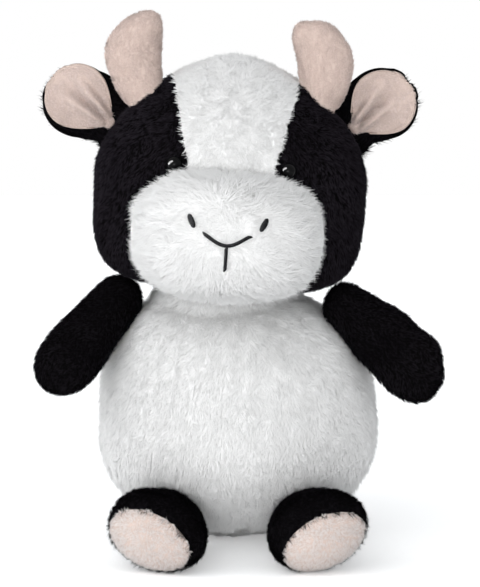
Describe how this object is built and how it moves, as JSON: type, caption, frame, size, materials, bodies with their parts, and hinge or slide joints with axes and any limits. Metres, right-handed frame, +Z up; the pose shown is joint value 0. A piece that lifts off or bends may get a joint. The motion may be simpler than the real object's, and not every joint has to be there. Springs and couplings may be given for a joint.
{
  "type": "plush cow",
  "caption": "Seated plush cow with a big nodding and turning head, cupped ears, stubby horns, springy paddle arms, lifting legs and a small tail.",
  "frame": {"origin": "point of the base panel's flat that lies under the middle of the belly, on the floor", "axes": "+Z up, the toy faces -Y, +X to the toy's own left and to the right of someone who looks at its face"},
  "size_m": [0.1835, 0.1792, 0.2422],
  "materials": {
    "white_plush": "long white pile, matt",
    "black_plush": "short black pile with a soft sheen",
    "pale_velour": "shaved pale pink pile, matt",
    "fibre_fill": "loose white fibre",
    "pouch_cloth": "plain unbleached weave",
    "seam_tape": "plain tape, matt",
    "black_thread": "satin stitches",
    "eye_plastic": "black, polished",
    "washer_plastic": "plain moulded"
  },
  "bodies": {
    "seat": {"torso_front_panel": "white_plush", "torso_back_panel": "white_plush", "torso_base_panel": "white_plush", "pellet_pouch": "pouch_cloth", "torso_fill": "fibre_fill", "care_label": "seam_tape"},
    "neck": {"neck_seam_ring": "seam_tape"},
    "head": {"head_blaze_panel": "white_plush", "head_left_panel": "black_plush", "head_right_panel": "black_plush", "head_fill": "fibre_fill", "muzzle_cover": "white_plush", "muzzle_fill": "fibre_fill", "left_eye": "eye_plastic", "right_eye": "eye_plastic", "left_eye_washer": "washer_plastic", "right_eye_washer": "washer_plastic", "left_nostril_stitch": "black_thread", "right_nostril_stitch": "black_thread", "mouth_stitch": "black_thread", "lip_stitch": "black_thread", "left_horn_cover": "pale_velour", "right_horn_cover": "pale_velour", "left_horn_fill": "fibre_fill", "right_horn_fill": "fibre_fill"},
    "left_ear": {"left_ear_outer": "black_plush", "left_ear_lining": "pale_velour"},
    "right_ear": {"right_ear_outer": "black_plush", "right_ear_lining": "pale_velour"},
    "left_arm": {"left_arm_cover": "black_plush", "left_arm_fill": "fibre_fill"},
    "right_arm": {"right_arm_cover": "black_plush", "right_arm_fill": "fibre_fill"},
    "left_leg": {"left_leg_cover": "black_plush", "left_sole_pad": "pale_velour", "left_leg_fill": "fibre_fill"},
    "right_leg": {"right_leg_cover": "black_plush", "right_sole_pad": "pale_velour", "right_leg_fill": "fibre_fill"},
    "tail": {"tail_cover": "white_plush", "tail_tuft": "black_plush"}
  },
  "joints": [
    {"name": "neck_nod", "type": "hinge", "parent": "seat", "child": "neck", "pos_m": [-0.005, 0.002, 0.097], "axis": [1, 0, 0], "range_deg": [-10, 8], "stiffness_Nm_per_rad": 0.6},
    {"name": "head_turn", "type": "hinge", "parent": "neck", "child": "head", "pos_m": [-0.005, 0.002, 0.097], "axis": [0.061, 0, 0.9981], "range_deg": [-20, 20], "stiffness_Nm_per_rad": 0.3},
    {"name": "left_arm_lift", "type": "hinge", "parent": "seat", "child": "left_arm", "pos_m": [-0.05414, -0.01, 0.1115], "axis": [0, 1, 0], "range_deg": [-4, 40], "stiffness_Nm_per_rad": 0.05},
    {"name": "right_arm_lift", "type": "hinge", "parent": "seat", "child": "right_arm", "pos_m": [0.04911, -0.016, 0.1085], "axis": [0, -1, 0], "range_deg": [-4, 40], "stiffness_Nm_per_rad": 0.05},
    {"name": "left_leg_lift", "type": "hinge", "parent": "seat", "child": "left_leg", "pos_m": [-0.029, -0.04242, 0.0165], "axis": [-1, 0, 0], "range_deg": [0, 15], "stiffness_Nm_per_rad": 0.15},
    {"name": "right_leg_lift", "type": "hinge", "parent": "seat", "child": "right_leg", "pos_m": [0.029, -0.04242, 0.0165], "axis": [-1, 0, 0], "range_deg": [0, 15], "stiffness_Nm_per_rad": 0.15},
    {"name": "left_ear_flap", "type": "hinge", "parent": "head", "child": "left_ear", "pos_m": [-0.0552, 0.0105, 0.18864], "axis": [-0.113, 0.9903, 0.0806], "range_deg": [-12, 12], "stiffness_Nm_per_rad": 0.02},
    {"name": "right_ear_flap", "type": "hinge", "parent": "head", "child": "right_ear", "pos_m": [0.05168, 0.0105, 0.18661], "axis": [-0.2979, -0.9201, -0.2544], "range_deg": [-12, 12], "stiffness_Nm_per_rad": 0.02},
    {"name": "tail_lift", "type": "hinge", "parent": "seat", "child": "tail", "pos_m": [0, 0.05427, 0.032], "axis": [1, 0, 0], "range_deg": [0, 40], "stiffness_Nm_per_rad": 0.01}
  ]
}
